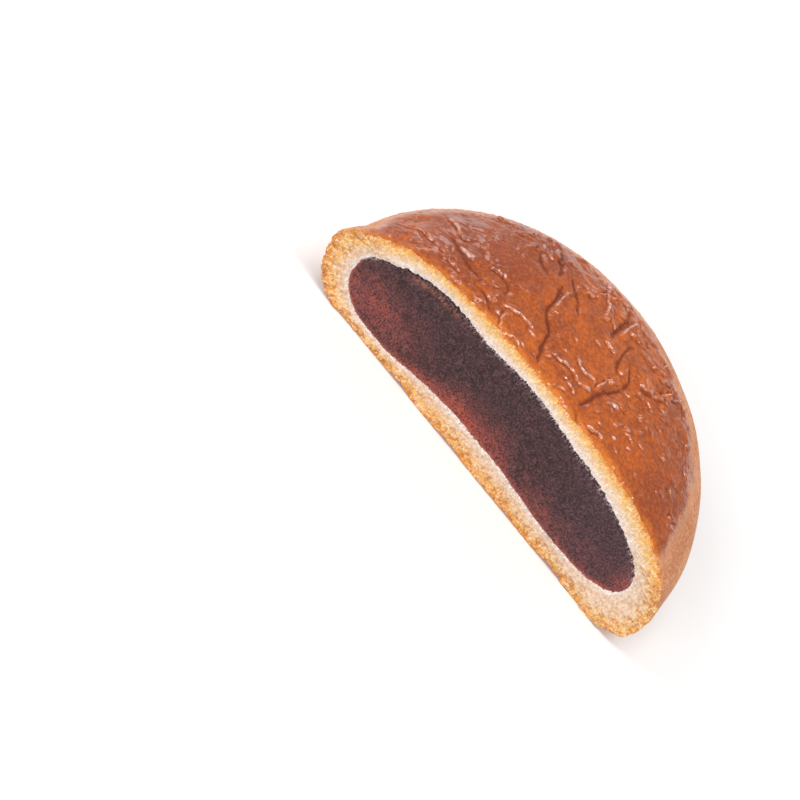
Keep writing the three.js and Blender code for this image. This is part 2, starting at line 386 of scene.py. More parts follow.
def smooth_route(points, pieces=6):
    """A smooth curve through a few points, as a row of closer ones."""
    knots = np.array([points[0], *points, points[-1]], float)
    route = []
    for a, b, c, d in zip(knots, knots[1:], knots[2:], knots[3:]):
        for t in np.linspace(0, 1, pieces, endpoint=False):
            bend = (2 * a - 5 * b + 4 * c - d) * t**2 + (3 * b - a - 3 * c + d) * t**3
            route.append(b + 0.5 * ((c - a) * t + bend))
    return np.array(route + [knots[-1]])


# The side of a fold that faces the cut and the left, where its shaded foot lies.
FOOT_SIDE = np.array([-0.45, -0.89])


def near_route(points, route):
    """For each point: its distance in mm from a route, signed to be positive on the foot's side,
    and how far it is along the route from the nearer end."""
    along = travelled(route)
    distance = np.full(len(points), FAR)
    signed = np.zeros(len(points))
    place = np.zeros(len(points))
    for start, end, before in zip(route, route[1:], along):
        step = np.linalg.norm(end - start)
        heading = (end - start) / step
        t = np.clip((points - start) @ heading, 0, step)
        offset = points - start - t[:, None] * heading
        here = np.linalg.norm(offset, axis=1)
        nearer = here < distance
        distance = np.where(nearer, here, distance)
        across = np.array([-heading[1], heading[0]])
        across = across if across @ FOOT_SIDE > 0 else -across
        signed = np.where(nearer, np.where(offset @ across > 0, here, -here), signed)
        place = np.where(nearer, before + t, place)
    return signed, np.minimum(place, along[-1] - place)


def taper(from_end, length):
    """How strong a crease or fold is near its ends."""
    return 0.15 + 0.85 * fade(from_end, -0.2, length)


def beside_lines(lines, points, reach):
    """Each line's depth, width and points in reach, and how far they are from it and its ends."""
    for depth, width, knots in lines:
        route = smooth_route(knots)
        low, high = route.min(axis=0) - reach, route.max(axis=0) + reach
        here = np.flatnonzero(np.all((points > low) & (points < high), axis=1))
        yield depth, width, here, *near_route(points[here], route)


def press_creases(points, squeeze, height, crease_shade):
    """Lowers `height` along the creases, and marks in `crease_shade` the painted shade in them."""
    for depth, width, here, distance, from_end in beside_lines(CREASES, points, 6):
        share = taper(from_end, 3.0)
        distance = distance * squeeze[here] / (0.45 + 0.75 * share)
        strength = 1.15 * depth * share
        valley = 0.7 / (1 + (distance / width) ** 2) + 0.3 * bump(distance, 2.0)
        height[here] += strength * (0.3 * bump(distance + 1.4, 0.6) - valley)
        shade = 2.4 * bump(distance, 0.7 * width) + 0.3 * bump(distance, 1.4)
        crease_shade[here] = np.maximum(crease_shade[here], strength * shade)


def raise_folds(points, plan, squeeze, height, crease_shade, fold_highlight):
    """Raises thin folds, and marks the painted shade at their foot in `crease_shade` and the
    painted highlight on their front in `fold_highlight`.
    """
    broken = np.clip(0.9 + 0.6 * noise(plan, 1.4, 18), 0.4, 1.3)
    lines = FOLDS + scattered_folds()
    for lift, width, here, distance, from_end in beside_lines(lines, points, 3):
        distance = 1.15 * distance * squeeze[here]
        share = taper(from_end, 1.2) * broken[here]
        strength = lift * share * (1 + 0.6 * fade(plan[here, 1], 6, 30))
        ridge = bump(np.minimum(distance, 0), 3 * width) * bump(np.maximum(distance, 0), width)
        foot = bump(distance - 1.9 * width, 0.8 * width)
        height[here] += strength * (ridge - 0.45 * foot)
        crease_shade[here] = np.maximum(crease_shade[here], 2.2 * lift * share * foot)
        front = bump(distance - 0.6 * width, 0.65 * width)
        fold_highlight[here] = np.maximum(fold_highlight[here], 3 * lift * share * front)


# The net of faint wrinkles, coarse and fine: size of its meshes, depth, width and seed.
NETS = ((7.5, 0.2, 0.4, 35), (3.2, 0.12, 0.3, 37))


def cast_net(unrolled, plan, cap, height, crease_shade):
    """Adds a broken net of faint wrinkles to `height`, and painted shade along them to
    `crease_shade`, weaker at the far left.
    """
    drift = wander(unrolled, 7, 31) + 0.3 * wander(unrolled, 2, 33)
    for size, depth, width, seed in NETS:
        nearest, second = cells(unrolled + 0.22 * size * drift, size, seed)
        edge = (second - nearest) / 2
        present = cap * fade(noise(unrolled, 1.2 * size, seed + 1), -0.1, 0.5)
        present *= 0.4 + 0.6 * fade(plan[:, 0], -36, -24)
        height += present * depth * (0.4 * (1 - bump(edge, 3 * width)) - bump(edge, width))
        np.maximum(crease_shade, 1.2 * present * depth * bump(edge, width), out=crease_shade)


def skin_relief(points, unrolled):
    """How far the skin stands out from its smooth form, how much painted shade its creases and
    painted highlight its folds get, and how egg-washed it is there."""
    plan = points[:, :2]
    outward = GLAZE_RADII[1] * (np.linalg.norm((plan - GLAZE_CENTRE) / GLAZE_RADII, axis=1) - 1)
    outward += 1.6 * noise(unrolled, 6, 15) + 0.9 * noise(unrolled, 1.6, 16)
    cap = 1 - fade(outward, -3.5, 2.5)

    # Broad swells, stronger at the far left, and a crinkled border of the cap.
    height = 0.25 * noise(unrolled, 14, 21)
    height += cap * (0.1 + 0.22 * fade(plan[:, 0], -24, -34)) * noise(unrolled, 5, 22)
    border = bump(outward + 0.5, 3)
    height += border * (0.22 * np.abs(noise(unrolled, 1.5, 23)) + 0.1 * noise(unrolled, 0.8, 24))

    crease_shade = np.zeros(len(points))
    fold_highlight = np.zeros(len(points))
    squeeze = 1 + 0.45 * noise(plan, 1.8, 17)
    warped = plan + (0.35 * wander(plan, 4, 11) + 0.14 * wander(plan, 1.3, 13))
    press_creases(warped, squeeze, height, crease_shade)
    raise_folds(warped, plan, squeeze, height, crease_shade, fold_highlight)
    cast_net(unrolled, plan, cap, height, crease_shade)
    height += 0.03 * noise(unrolled, 1.1, 39)
    return height, crease_shade, fold_highlight, cap


def grain_height(points):
    """Crumbly grains of the torn crust, in mm."""
    grains = 0.22 * domes(points, 1.0, 41) + 0.18 * domes(points, 0.55, 42)
    return grains + 0.18 * noise(points, 2.2, 43)


# ---------- meshes


def zip_rings(first, second):
    """Triangles between two open rows of point numbers that may differ in count."""
    faces = []
    i = j = 0
    last_i, last_j = len(first) - 1, len(second) - 1
    while i < last_i or j < last_j:
        if j == last_j or (i < last_i and (i + 1) * last_j <= (j + 1) * last_i):
            faces.append((first[i], second[j], first[i + 1]))
            i += 1
        else:
            faces.append((first[i], second[j], second[j + 1]))
            j += 1
    return faces


def grid_faces(rows, closed=False):
    """Triangles between rows of point numbers of one count."""
    faces = []
    for upper, lower in zip(rows, rows[1:]):
        count = len(upper)
        for i in range(count if closed else count - 1):
            k = (i + 1) % count
            faces.append((upper[i], lower[i], lower[k]))
            faces.append((upper[i], lower[k], upper[k]))
    return faces


def smooth_normals(points, faces):
    """Unit vectors outwards from the surface at each point."""
    faces = np.array(faces)
    corner = points[faces]
    area = np.cross(corner[:, 1] - corner[:, 0], corner[:, 2] - corner[:, 0])
    normals = np.zeros_like(points)
    for k in range(3):
        np.add.at(normals, faces[:, k], area)
    return normals / np.maximum(np.linalg.norm(normals, axis=1, keepdims=True), 1e-12)


def rounded_back(loop, first_number, depth):
    """Loops that shrink behind a closed loop to the deepest point: their points, their rows of
    numbers, and the deepest one's number."""
    middle = np.array([PASTE_CENTRE_X, 0, PASTE_END_HEIGHT])
    shoulder, crown = PASTE_TOP_BOW
    layers, rows = [], []
    for k in range(1, HOLLOW_LOOPS):
        lean = math.pi / 2 * k / HOLLOW_LOOPS
        upright = (1 - math.sin(lean) ** shoulder) ** (1 / crown)
        scale = np.array([math.cos(lean), 0, upright])
        layers.append(middle + (loop - middle) * scale + (0, depth * math.sin(lean), 0))
        rows.append(np.arange(len(loop)) + first_number + (k - 1) * len(loop))
    layers.append(middle[None] + (0, depth, 0))
    return np.concatenate(layers), rows, first_number + (HOLLOW_LOOPS - 1) * len(loop)


def closing_fan(row, point):
    return [(row[i], point, row[(i + 1) % len(row)]) for i in range(len(row))]


def cut_on_map(points, faces, left, width):
    """Places on the map for the faces of a cut, which starts at `left` and takes `width` mm."""
    places = (points[:, [0, 2]] - (left, 0)) / width + MAP_MARGIN
    return places[np.array(faces)]


def strip_on_map(faces, loop, first_number):
    """Places for the faces of a rounded back, as a strip across the upper half of the map."""
    faces = np.array(faces)
    across, row = np.zeros((2, faces.max() + 1))
    across[loop] = np.arange(len(loop)) / len(loop)
    layer, place = np.divmod(np.arange(len(row) - first_number), len(loop))
    across[first_number:] = place / len(loop)
    row[first_number:] = 1 + layer
    u, v = across[faces], row[faces] / HOLLOW_LOOPS
    wraps = u.max(axis=1) - u.min(axis=1) > 0.5
    u[wraps] = np.where(u[wraps] < 0.5, u[wraps] + 1, u[wraps])
    return STRIP_CORNER + STRIP_SIZE * np.stack([u, v], axis=2)


def to_frame(points):
    return (np.asarray(points) + (0, AXIS_Y, 0)) * MM


def add_object(name, data):
    new = bpy.data.objects.new(name, data)
    bpy.context.scene.collection.objects.link(new)
    return new


def make_piece(name, points, faces, corners_on_map, material, attributes, hidden, node):
    """A piece that stands for a node, with its map and the values that its material goes by.
    Points past a value's end are hidden ones: they get 0 or what `hidden` says."""
    mesh = bpy.data.meshes.new(name)
    mesh.from_pydata(to_frame(points).tolist(), [], [tuple(map(int, face)) for face in faces])
    mesh.shade_smooth()
    mesh.materials.append(material)
    layer = mesh.uv_layers.new(name="OFBake")
    layer.data.foreach_set("uv", np.concatenate(corners_on_map).astype(np.float32).ravel())
    for key, values in attributes.items():
        padded = np.full(len(points), hidden.get(key, 0.0), np.float32)
        padded[: len(values)] = values
        attribute = mesh.attributes.new(key, "FLOAT", "POINT")
        attribute.data.foreach_set("value", padded)
    piece = add_object(name, mesh)
    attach(piece, "root")
    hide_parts(node)


def half_rings():
    """The smooth skin and base in half rings from the top down: their points, the same unrolled
    flat, the rows of their numbers, the widest ring's number and the profile's length."""
    profile_rings, widest = profile()
    points, unrolled, rings = [], [], []
    length = 0.0
    before = None
    for radius, top_share, bulge_share, segment in profile_rings:
        count = max(2, round(math.pi * radius / segment)) if radius > TINY else 0
        angle = np.linspace(0, math.pi, count + 1)
        bulge = bulge_share * (BULGE_HEIGHT - BULGE_TILT * np.cos(angle))
        height = bulge + top_share * (HEIGHT - bulge)
        middle = (radius, height.mean())
        length += math.dist(before, middle) if before else 0
        before = middle
        rings.append(np.arange(count + 1) + len(points))
        across, back = np.cos(angle), np.sin(angle)
        points.extend(np.stack([radius * across, radius * back, height], axis=1))
        unrolled.extend(length * np.stack([across, back], axis=1))
    return np.array(points), np.array(unrolled), rings, widest, length


def torn_relief(points, relief):
    """The skin's relief, without wrinkles at its foot and torn to grains where it was cut."""
    x, y, z = points.T
    zone = fade(z, *GRAINY_CRUST)
    relief = relief * (1 - fade(z, 6, 0))
    relief -= 0.25 * bump(y, 0.5) * (1 - zone)
    relief += zone * bump(y, 1.0) * (grain_height(points) - 0.25)
    return relief + END_LIP * bump(y, 3) * bump(z - END_LIP_HEIGHT, 6.5) * (x < 0)


def base_relief(points):
    """How the base stands out: faintly hollowed, and chipped along the cut."""
    chipped = 0.25 + 0.7 * noise(points, 8, 45) + 0.4 * noise(points, 1.5, 46)
    chips = BASE_CHIPS * bump(points[:, 1], 1.4) * np.clip(chipped, 0, 1)
    return -chips - 0.06 * np.abs(noise(points, 3, 44))


def build_skin(material):
    """The skin and the base. Returns the edge where the cut starts: a loop anticlockwise from
    the widest point on the right, and the number of the one on the left."""
    points, unrolled, rings, widest, length = half_rings()
    on_side = points[:, 2] > TINY
    side_faces, base_faces = [], []
    for outer, inner in zip(rings, rings[1:]):
        faces = zip_rings(outer, inner)
        (side_faces if on_side[outer[0]] else base_faces).extend(faces)
    faces = side_faces + base_faces

    # Points in the cut stay in it, apart from the overhang.
    normals = smooth_normals(points, faces)
    normals[points[:, 1] < TINY, 1] = 0
    normals /= np.linalg.norm(normals, axis=1, keepdims=True)
    relief, crease_shade, fold_highlight, cap = skin_relief(points, unrolled)
    relief = np.where(on_side, torn_relief(points, relief), base_relief(points))
    moved = points + relief[:, None] * normals
    x, y, _ = points.T
    overhang = 0.2 + 0.35 * noise(points, 1.4, 47) + 0.2 * noise(points, 0.6, 48)
    moved[:, 1] -= np.clip(overhang, 0, SKIN_OVERHANG) * bump(y, 0.8) * on_side
    moved[:, 2] = np.maximum(moved[:, 2], 0)

    # The map for baking: the top and side unrolled in its lower half, the base above them.
    reach = 2.04 * (length - RADIUS + BASE_INSET)
    side_places = 0.5 + unrolled / reach - (0, 0.49)
    base_places = points[:, :2] / reach + (0.3, 0.52)
    corners_on_map = [side_places[np.array(side_faces)], base_places[np.array(base_faces)]]
    warmth = 0.9 * fade(x, -30, 5) * (1 - 0.85 * fade(x, 14, 32)) + 0.15 * bump(y, 7)
    attributes = dict(glaze=cap, crease_shade=crease_shade, fold_highlight=fold_highlight, warmth=warmth, from_cut=y)
    make_piece(
        "bread_skin", moved, faces, corners_on_map, material, attributes, {}, "bread"
    )
    right = [ring[0] for ring in rings]
    left = [ring[-1] for ring in rings]
    loop = np.roll(np.array(right[::-1] + left[1:-1]), widest + 1 - len(rings))
    return moved[loop], 2 * widest


def edge_facing(rim, left_end):
    """The paste's edge, with a point for each of the rim's, spread alike on top and floor."""
    length = travelled(np.concatenate([rim, rim[:1]]))
    top_share = length[: left_end + 1] / length[left_end]
    floor_share = (length[-1] - length[left_end + 1 : -1]) / (length[-1] - length[left_end])
    count = 2000
    steps = np.linspace(0, 1, count + 1)
    top_turns, floor_turns = outline_turns(count)
    turns = [np.interp(top_share, steps, top_turns), np.interp(floor_share, steps, floor_turns)]
    return np.insert(paste_edge(np.concatenate(turns)), 1, 0, axis=1)


def build_crumb(material, rim, left_end):
    """The cut crumb, in rows from the skin's edge to the paste's, and the hollow for the paste."""
    following = np.roll(rim, -1, axis=0)
    rim = np.stack([rim, (rim + following) / 2], axis=1).reshape(-1, 3)
    edge = edge_facing(rim, 2 * left_end)
    count = len(rim)
    thickness = np.tile(np.linalg.norm(rim - edge, axis=1), FACE_ROWS + 1)
    shares = np.linspace(0, 1, FACE_ROWS + 1)
    points = np.concatenate([rim + (edge - rim) * share for share in shares])
    share = np.repeat(shares, count)
    skin_distance = thickness * share
    paste_distance = thickness * (1 - share)
    zone = fade(np.tile(rim[:, 2], FACE_ROWS + 1), *GRAINY_CRUST)

    # Grains stand out towards the skin of the ends and base; elsewhere it is soft torn crumb.
    grainy = zone * fade(share, 0.95, 0.35)
    soft = 0.14 * noise(points, 1.8, 51) + 0.16 * noise(points, 0.8, 52)
    soft += 0.14 * noise(points, 0.4, 53) - 0.22 * domes(points, 1.3, 54) ** 4
    raised = grainy * (grain_height(points) - 0.2) + (1 - 0.6 * grainy) * soft
    points[:, 1] -= raised * fade(skin_distance, 0, 0.4)
    points[:, 1] += 0.2 * bump(paste_distance, 0.5)

    rows = [np.arange(count) + k * count for k in range(FACE_ROWS + 1)]
    hidden, hollow_rows, deepest = rounded_back(points[-count:], len(points), PASTE_HALF_WIDTH)
    cut_faces = grid_faces(rows[::-1], closed=True)
    hollow_faces = grid_faces([*hollow_rows[::-1], rows[-1]], closed=True)
    hollow_faces += [face[::-1] for face in closing_fan(hollow_rows[-1], deepest)]
    corners_on_map = [
        cut_on_map(points, cut_faces, BREAD_LOW.x - 3, CRUMB_MAP_WIDTH),
        strip_on_map(hollow_faces, rows[-1], len(points)),
    ]
    x = points[:, 0]
    # Painted light: at the ends the crust is paler at the right, which the lamps from the left
    # light less, and deeper at the left, which they light more.
    pale = share + zone * (0.14 * fade(x, 22, 40) - 0.06 * fade(x, -30, -42))
    attributes = dict(paste_distance=paste_distance, pale=pale, crust=zone, raised=raised)
    in_hollow = dict(paste_distance=-1.0, pale=1.0)
    make_piece(
        "bread_crumb", np.concatenate([points, hidden]), cut_faces + hollow_faces,
        corners_on_map, material, attributes, in_hollow, "bread",
    )


def paste_columns():
    """The paste's flat cut face: its points, the numbers of its right and left ends, and those
    of each column between them, from its top to its floor."""
    turns, _ = outline_turns(PASTE_COLUMNS)
    top, floor = (paste_edge(side * turns, PASTE_UNDER_CRUMB) for side in (1, -1))
    shares = np.linspace(0, 1, PASTE_ROWS + 1)[:, None]
    parts = [upper + (lower - upper) * shares for upper, lower in zip(top[1:-1], floor[1:-1])]
    parts = [top[:1], *parts, top[-1:]]
    starts = np.cumsum([0] + [len(part) for part in parts])
    columns = [np.arange(start, end) for start, end in zip(starts, starts[1:])]
    (right,), (left,) = columns[0], columns[-1]
    return np.insert(np.concatenate(parts), 1, 0, axis=1), right, left, columns[1:-1]


def paste_values(face, upper_gap, lower_gap, tear_and_shade):
    """The values that the paste's material goes by, for each point of its cut face."""
    x, _, z = face.T
    end_gap = PASTE_HALF_WIDTH - np.abs(x - PASTE_CENTRE_X)
    wave = noise(face, 6, 65) + 0.5 * noise(face, 2, 66)

    # Where red shows.
    lower_left = 1.3 * bump(np.hypot((x + 34) / 10, (z - 9) / 6.5), 1) * (0.9 + 0.4 * wave)
    band_height = 1.7 + 4.0 * fade(x, -22, -6) * fade(x, 9, 2) + 0.8 * wave
    floor_band = 1.3 * bump(lower_gap, band_height) * fade(x, -34, -22)
    right_end = 1.2 * bump(end_gap, 3.0) * (x > 0) * (1 + 0.3 * wave)
    lower_right = 0.75 * bump(lower_gap - 1, 5) * fade(x, 2, 16) * (0.8 + 0.7 * wave)
    red = np.maximum.reduce([lower_left, floor_band, right_end, lower_right])
    return {
        "red": np.clip(red, 0, 1),
        "brown": tear_and_shade * bump(upper_gap - 1.7, 0.7) * fade(x, -35, -31),
        # Painted shade in the gap where the paste tore from the crumb.
        "gap_shade": tear_and_shade * bump(upper_gap, 0.75),
        "cool": 0.6 * fade(x, 10, 26),
        "vivid": bump(lower_gap - 0.6, 2.6) * bump(x + 5, 11) * (0.8 + 0.5 * wave),
        "upper_gap": upper_gap,
        "lower_gap": np.minimum(lower_gap, end_gap),
    }


def build_paste(material):
    """A closed lump of paste: a finely grained cut face, and a plain back."""
    face, right, left, columns = paste_columns()
    cut_faces = grid_faces(columns)
    cut_faces += [(right, a, b) for a, b in zip(columns[0], columns[0][1:])]
    cut_faces += [(left, b, a) for a, b in zip(columns[-1], columns[-1][1:])]

    # The face lies a little behind the cut, and deeper where it has torn from the crumb.
    x, _, z = face.T
    upper_gap = paste_level(x, True) - z
    lower_gap = z - paste_level(x, False)
    tear_and_shade = fade(x, *TORN_LEFT) * fade(x, *TORN_RIGHT)
    depth = 0.3 + 0.3 * noise(face, 9, 61) + 0.1 * noise(face, 1.6, 62)
    depth += 0.1 * noise(face, 0.7, 63) + 0.06 * noise(face, 0.4, 64)
    depth += (0.3 + 1.3 * tear_and_shade) * bump(upper_gap, 0.7)
    face[:, 1] = np.maximum(depth, 0.05)

    top_row, floor_row = [c[0] for c in columns], [c[-1] for c in columns]
    edge = np.array([right, *top_row, left, *floor_row[::-1]])
    back_depth = PASTE_HALF_WIDTH - PASTE_BACK_GAP
    hidden, back_rows, deepest = rounded_back(face[edge], len(face), back_depth)
    back_faces = grid_faces([edge, *back_rows], closed=True) + closing_fan(back_rows[-1], deepest)
    map_left = PASTE_CENTRE_X - PASTE_HALF_WIDTH - 1
    corners_on_map = [
        cut_on_map(face, cut_faces, map_left, PASTE_MAP_WIDTH),
        strip_on_map(back_faces, edge, len(face)),
    ]
    attributes = paste_values(face, upper_gap, lower_gap, tear_and_shade)
    at_back = dict(upper_gap=9.0, lower_gap=9.0)
    make_piece(
        "bean_paste_filling", np.concatenate([face, hidden]), cut_faces + back_faces,
        corners_on_map, material, attributes, at_back, "bean_paste",
    )


# ---------- materials


def rgba(colour):
    """A screen colour of red, green and blue from 0 to 255, made linear; a socket as it is."""
    if isinstance(colour, bpy.types.NodeSocket):
        return colour
    linear = [((c / 255 + 0.055) / 1.055) ** 2.4 if c > 10 else c / 255 / 12.92 for c in colour]
    return (*linear, 1.0)


class Nodes:
    """A material's node tree, with short calls for the few kinds of node used here."""

    def __init__(self, name):
        self.material = bpy.data.materials.new(name)
        self.material.use_nodes = True
        self.tree = self.material.node_tree
        self.tree.nodes.clear()
        self.shader = self.add("ShaderNodeBsdfPrincipled")
        output = self.add("ShaderNodeOutputMaterial")
        self.put(self.shader.outputs[0], output.inputs["Surface"])
        self.place = self.add("ShaderNodeTexCoord").outputs["Object"]

    def add(self, kind, **settings):
        node = self.tree.nodes.new(kind)
        for key, value in settings.items():
            setattr(node, key, value)
        return node

    def put(self, value, target):
        """Links an output, or sets a plain value."""
        if isinstance(value, bpy.types.NodeSocket):
            self.tree.links.new(value, target)
        else:
            target.default_value = value

    def attribute(self, name):
        return self.add("ShaderNodeAttribute", attribute_name=name).outputs["Fac"]

    def attributes(self, *names):
        return [self.attribute(name) for name in names]

    def noise(self, size_mm, detail=3.0, roughness=0.55, stretch=(1, 1, 1)):
        """Noise from 0 to 1 in lumps, drawn out along the axes where `stretch` is under 1."""
        node = self.add("ShaderNodeTexNoise")
        self.put(1 / (size_mm * MM), node.inputs["Scale"])
        self.put(detail, node.inputs["Detail"])
        self.put(roughness, node.inputs["Roughness"])
        mapping = self.add("ShaderNodeMapping")
        self.put(stretch, mapping.inputs["Scale"])
        self.put(self.place, mapping.inputs["Vector"])
        self.put(mapping.outputs["Vector"], node.inputs["Vector"])
        return node.outputs["Fac"]

    def math(self, operation, a, b):
        node = self.add("ShaderNodeMath", operation=operation)
        self.put(a, node.inputs[0])
        self.put(b, node.inputs[1])
        return node.outputs[0]

    def plus(self, a, b):
        return self.math("ADD", a, b)

    def times(self, a, b):
        return self.math("MULTIPLY", a, b)

    def span(self, value, low, high, to_low=0.0, to_high=1.0):
        """Maps a range of values to another, smoothly and clamped."""
        node = self.add("ShaderNodeMapRange", interpolation_type="SMOOTHSTEP")
        self.put(value, node.inputs["Value"])
        ends = {"From Min": low, "From Max": high, "To Min": to_low, "To Max": to_high}
        for socket, number in ends.items():
            self.put(number, node.inputs[socket])
        return node.outputs["Result"]

    def mix(self, factor, a, b):
        node = self.add("ShaderNodeMix", data_type="RGBA")
        self.put(factor, node.inputs[0])
        self.put(rgba(a), node.inputs[6])
        self.put(rgba(b), node.inputs[7])
        return node.outputs[2]

    def tint(self, colour, tone, value, low, high, amount):
        """Mixes up to `amount` of a tone into a colour, as a value goes from low to high."""
        return self.mix(self.span(value, low, high, 0, amount), colour, tone)

    def ramp(self, value, stops):
        """A colour that runs through tones, each reached at its own value."""
        node = self.add("ShaderNodeValToRGB")
        while len(node.color_ramp.elements) < len(stops):
            node.color_ramp.elements.new(0.5)
        for element, (place, colour) in zip(node.color_ramp.elements, stops):
            element.position = place
            element.color = rgba(colour)
        self.put(value, node.inputs["Fac"])
        return node.outputs["Color"]

    def bump(self, height, strength, distance_mm, socket="Normal"):
        node = self.add("ShaderNodeBump")
        self.put(strength, node.inputs["Strength"])
        self.put(distance_mm * MM, node.inputs["Distance"])
        self.put(height, node.inputs["Height"])
        self.put(node.outputs["Normal"], self.shader.inputs[socket])

    def set(self, **inputs):
        for name, value in inputs.items():
            self.put(value, self.shader.inputs[name.replace("_", " ")])


def skin_material():
    """Glossy chestnut on the egg-washed cap, matte tan with fine speckles round the side."""
    nodes = Nodes("baked_skin")
    glaze, fold_highlight, crease_shade, from_cut = nodes.attributes("glaze", "fold_highlight", "crease_shade", "from_cut")
    broad = nodes.noise(9, 4)
    cloud = nodes.noise(2.6, 4, 0.65)
    fine = nodes.noise(0.7, 4, 0.7)
    patchy = nodes.noise(1.2, 3, 0.6)

    # The cap: deep to warm chestnut, darker clouds, a toasted band at the cut, and speckles.
    drift = nodes.plus(nodes.attribute("warmth"), nodes.span(broad, 0.3, 0.7, -0.35, 0.35))
    cap = nodes.mix(drift, (152, 61, 10), (194, 91, 12))
    cap = nodes.mix(nodes.span(cloud, 0.38, 0.58, 0.55, 0), cap, (134, 56, 18))
    near_cut = nodes.plus(from_cut, nodes.span(cloud, 0.3, 0.7, -0.7, 0.9))
    band = nodes.span(near_cut, 1.7, -0.5)
    toasted = nodes.times(band, nodes.span(drift, 0, 0.6, 0.55, 0.9))
    cap = nodes.mix(toasted, cap, (224, 122, 24))
    cap = nodes.tint(cap, (122, 50, 16), fine, 0.48, 0.66, 0.4)
    cap = nodes.tint(cap, (222, 130, 56), fine, 0.52, 0.34, 0.3)

    # Painted highlights on the folds' fronts, broken in places, and painted shade in the creases
    # and at the folds' feet.
    painted_highlight = nodes.times(fold_highlight, nodes.span(patchy, 0.38, 0.56, 0.25, 1.0))
    cap = nodes.tint(cap, (248, 212, 196), painted_highlight, 0.1, 0.9, 0.4)
    # Painted shade in the creases and at the folds' feet.
    tear_and_shade = nodes.times(crease_shade, nodes.span(patchy, 0.65, 0.4, 0.6, 1.0))
    cap = nodes.tint(cap, (98, 38, 22), tear_and_shade, 0.05, 0.9, 0.75)

    # The side: two tans with speckles.
    tan = nodes.mix(nodes.span(broad, 0.35, 0.65), (210, 136, 92), (232, 164, 118))
    tan = nodes.tint(tan, (166, 94, 60), fine, 0.46, 0.66, 0.55)
    tan = nodes.tint(tan, (244, 190, 150), fine, 0.5, 0.36, 0.4)

    # Where the egg wash ends it has a pale, broken edge.
    edging = nodes.times(nodes.span(glaze, 0.02, 0.5), nodes.span(glaze, 0.98, 0.6))
    edging = nodes.times(edging, nodes.span(fine, 0.42, 0.58, 0.0, 0.6))
    colour = nodes.mix(nodes.span(glaze, 0.1, 0.9), tan, cap)

    # The egg wash is a clear coat, thin where creases opened the skin.
    open_skin = nodes.span(crease_shade, 0.1, 0.7, 1.0, 0.2)
    coat = nodes.math("MAXIMUM", nodes.span(glaze, 0.1, 0.9, 0.0, 0.5), nodes.span(painted_highlight, 0.1, 0.5))
    nodes.set(
        Base_Color=nodes.mix(edging, colour, (226, 176, 148)),
        Roughness=nodes.span(glaze, 0.1, 0.9, 0.65, 0.45),
        Coat_Weight=nodes.times(coat, open_skin),
        Coat_Roughness=0.08,
        Coat_IOR=1.65,
        Specular_IOR_Level=0.2,
    )
    nodes.bump(nodes.plus(fine, patchy), 0.7, 0.12)
    nodes.bump(cloud, 0.4, 0.2, "Coat Normal")
    return nodes.material


# Tones from the skin, at 0, to the paste, at 1: above the paste, and at the ends and base.
TOP_CRUMB = (
    (0.0, (214, 112, 26)), (0.07, (242, 158, 62)), (0.2, (252, 192, 100)),
    (0.42, (250, 206, 144)), (0.65, (250, 223, 198)), (1.0, (252, 242, 240)),
)
CRUSTY_CRUMB = (
    (0.0, (224, 144, 64)), (0.16, (247, 180, 98)), (0.42, (248, 196, 126)), (0.7, (249, 212, 166)),
)


def crumb_material():
    """From the toasted line under the skin through gold to white crumb beside the paste, with
    golden grains at the ends and along the base."""
    nodes = Nodes("crumb")
    pale, inner, crust, raised = nodes.attributes("pale", "paste_distance", "crust", "raised")
    blotch = nodes.noise(1.3, 5, 0.75)
    speck = nodes.noise(0.7, 4, 0.7)
    fibre = nodes.noise(0.35, 3, 0.65, (1, 1, 0.4))
    uneven = nodes.math("SUBTRACT", blotch, 0.5)
    toast = nodes.plus(pale, nodes.times(uneven, 0.8))

    # Soft crumb above the paste.
    top = nodes.ramp(toast, TOP_CRUMB)
    top = nodes.tint(top, (232, 170, 112), fibre, 0.5, 0.62, 0.5)
    top = nodes.tint(top, (255, 243, 222), fibre, 0.48, 0.38, 0.6)

    # Crust at the ends and base: painted shade in the pits and a painted highlight on the grains'
    # tips, brown specks and pale fibres.
    gold = nodes.ramp(toast, CRUSTY_CRUMB)
    gold = nodes.tint(gold, (204, 122, 56), raised, 0.06, -0.12, 0.7)
    gold = nodes.tint(gold, (255, 234, 198), raised, 0.12, 0.3, 0.7)
    gold = nodes.tint(gold, (202, 122, 54), speck, 0.5, 0.62, 0.6)
    gold = nodes.tint(gold, (255, 240, 216), fibre, 0.47, 0.36, 0.7)

    # Cream crumb behind the crust.
    cream = nodes.mix(nodes.span(speck, 0.44, 0.6, 0, 0.7), (247, 224, 202), (226, 168, 118))
    cream = nodes.tint(cream, (220, 172, 136), fibre, 0.5, 0.62, 0.5)
    inside = nodes.plus(pale, nodes.times(uneven, 1.2))
    end = nodes.mix(nodes.span(inside, 0.35, 0.85), gold, cream)
    colour = nodes.mix(nodes.span(nodes.plus(crust, uneven), 0.15, 0.7), top, end)

    # A white, fibrous line beside the paste with painted shade between its fibres, and painted
    # shade over the hollow behind it.
    whitened = nodes.mix(nodes.span(fibre, 0.42, 0.56), (218, 186, 174), (255, 248, 244))
    edge = nodes.plus(inner, nodes.times(uneven, 3.0))
    colour = nodes.tint(colour, whitened, edge, 1.4, 0.2, 0.85)
    colour = nodes.tint(colour, (64, 38, 32), inner, -0.1, -0.9, 1.0)
    nodes.set(Base_Color=colour, Roughness=0.8, Specular_IOR_Level=0.25)
    nodes.bump(nodes.plus(speck, fibre), 0.9, 0.28)
    return nodes.material


